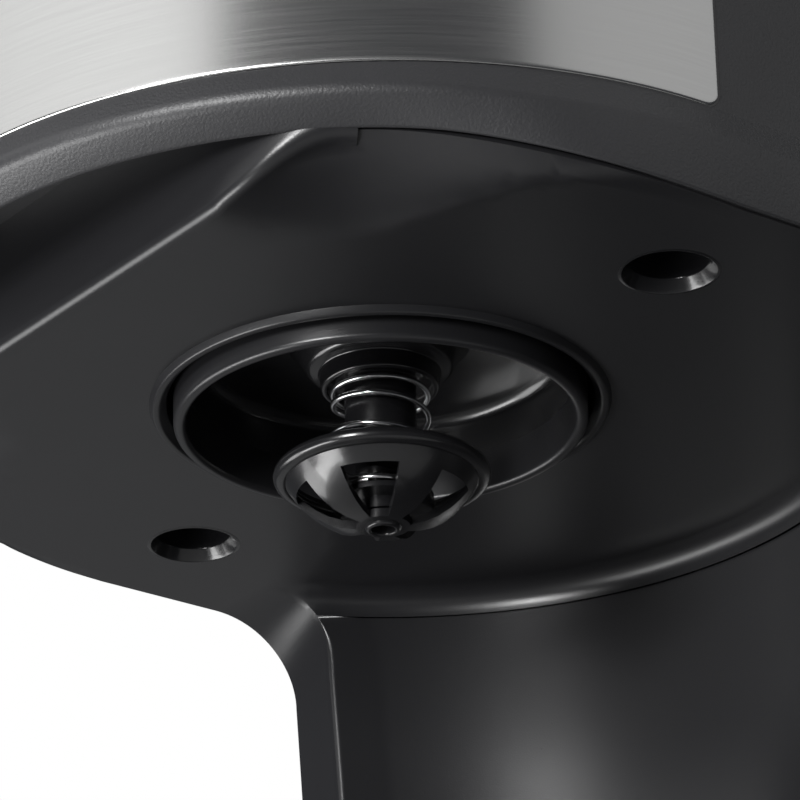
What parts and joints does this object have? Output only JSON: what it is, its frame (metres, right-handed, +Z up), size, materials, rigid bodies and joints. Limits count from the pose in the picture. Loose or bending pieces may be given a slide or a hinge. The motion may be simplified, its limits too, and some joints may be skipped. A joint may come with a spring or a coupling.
{
  "type": "drip coffee maker",
  "caption": "C-shaped drip coffee maker: brew head with steel band and sprung drip-stop over a jug bay, rear tank, hinged lid and heated base.",
  "frame": {"origin": "on the table, under the centre of the machine's outline", "axes": "+Z up, -Y towards the front of the machine, +X to the right of someone facing the front"},
  "size_m": [0.159, 0.229, 0.337],
  "materials": {
    "charcoal_shell": "fine satin grain",
    "black_liner": "smooth satin",
    "gloss_black": "polished",
    "brushed_steel": "brushed round the head",
    "bright_steel": "bright wire and screw steel",
    "heater_aluminium": "as extruded",
    "silicone": "milky silicone",
    "black_rubber": "matt",
    "clear_plastic": "clear moulded plastic",
    "grey_plastic": "plain moulded",
    "white_plastic": "plain moulded",
    "red_plastic": "glossy"
  },
  "bodies": {
    "machine": {"base_shell": "charcoal_shell", "base_cover": "black_liner", "rubber_feet": "black_rubber", "base_screws": "bright_steel", "jug_stand": "brushed_steel", "flow_heater": "heater_aluminium", "heater_clamps": "bright_steel", "thermostat": "heater_aluminium", "thermal_fuse": "white_plastic", "inlet_hose": "silicone", "valve_housing": "white_plastic", "riser_hose": "silicone", "hose_clips": "bright_steel", "button_bezel": "brushed_steel", "power_switch": "grey_plastic", "indicator_lens": "red_plastic", "terminal_block": "white_plastic", "cord_gland": "black_rubber", "body_shell": "charcoal_shell", "rear_cover": "charcoal_shell", "bay_wall": "black_liner", "underside_plate": "black_liner", "underside_screws": "bright_steel", "steel_band": "brushed_steel", "water_tank": "clear_plastic", "tank_strainer": "white_plastic", "tank_seal": "silicone", "gauge_tube": "clear_plastic", "level_window": "clear_plastic", "brew_chamber": "black_liner", "top_deck": "black_liner", "filter_basket": "gloss_black", "basket_screw": "bright_steel", "valve_spring": "bright_steel", "riser_spout": "white_plastic", "spout_seal": "silicone", "hinge_bridge": "charcoal_shell", "hinge_pins": "bright_steel"},
    "lid": {"lid_shell": "charcoal_shell", "lid_liner": "grey_plastic", "shower_channel": "grey_plastic", "shower_plate": "brushed_steel"},
    "drip_stop": {"valve_stem": "gloss_black", "valve_cap": "gloss_black", "valve_seal": "silicone"},
    "power_button": {"power_button": "gloss_black"},
    "check_ball": {"valve_ball": "red_plastic"},
    "level_float": {"float_ball": "red_plastic"}
  },
  "joints": [
    {"name": "lid_hinge", "type": "hinge", "parent": "machine", "child": "lid", "pos_m": [0, 0.092, 0.3285], "axis": [-1, 0, 0], "range_deg": [0, 85]},
    {"name": "drip_stop_slide", "type": "slide", "parent": "machine", "child": "drip_stop", "axis": [0, 0, 1], "range_m": [0, 0.007], "stiffness_N_per_m": 250, "springref_m": -0.005, "deforming": ["valve_spring"]},
    {"name": "power_button_press", "type": "slide", "parent": "machine", "child": "power_button", "axis": [0, 1, 0], "range_m": [0, 0.002], "stiffness_N_per_m": 600, "springref_m": -0.001},
    {"name": "check_ball_slide", "type": "slide", "parent": "machine", "child": "check_ball", "axis": [0, -1, 0], "range_m": [0, 0.003]},
    {"name": "float_rise", "type": "slide", "parent": "machine", "child": "level_float", "axis": [0, 0, 1], "range_m": [0, 0.2]}
  ]
}
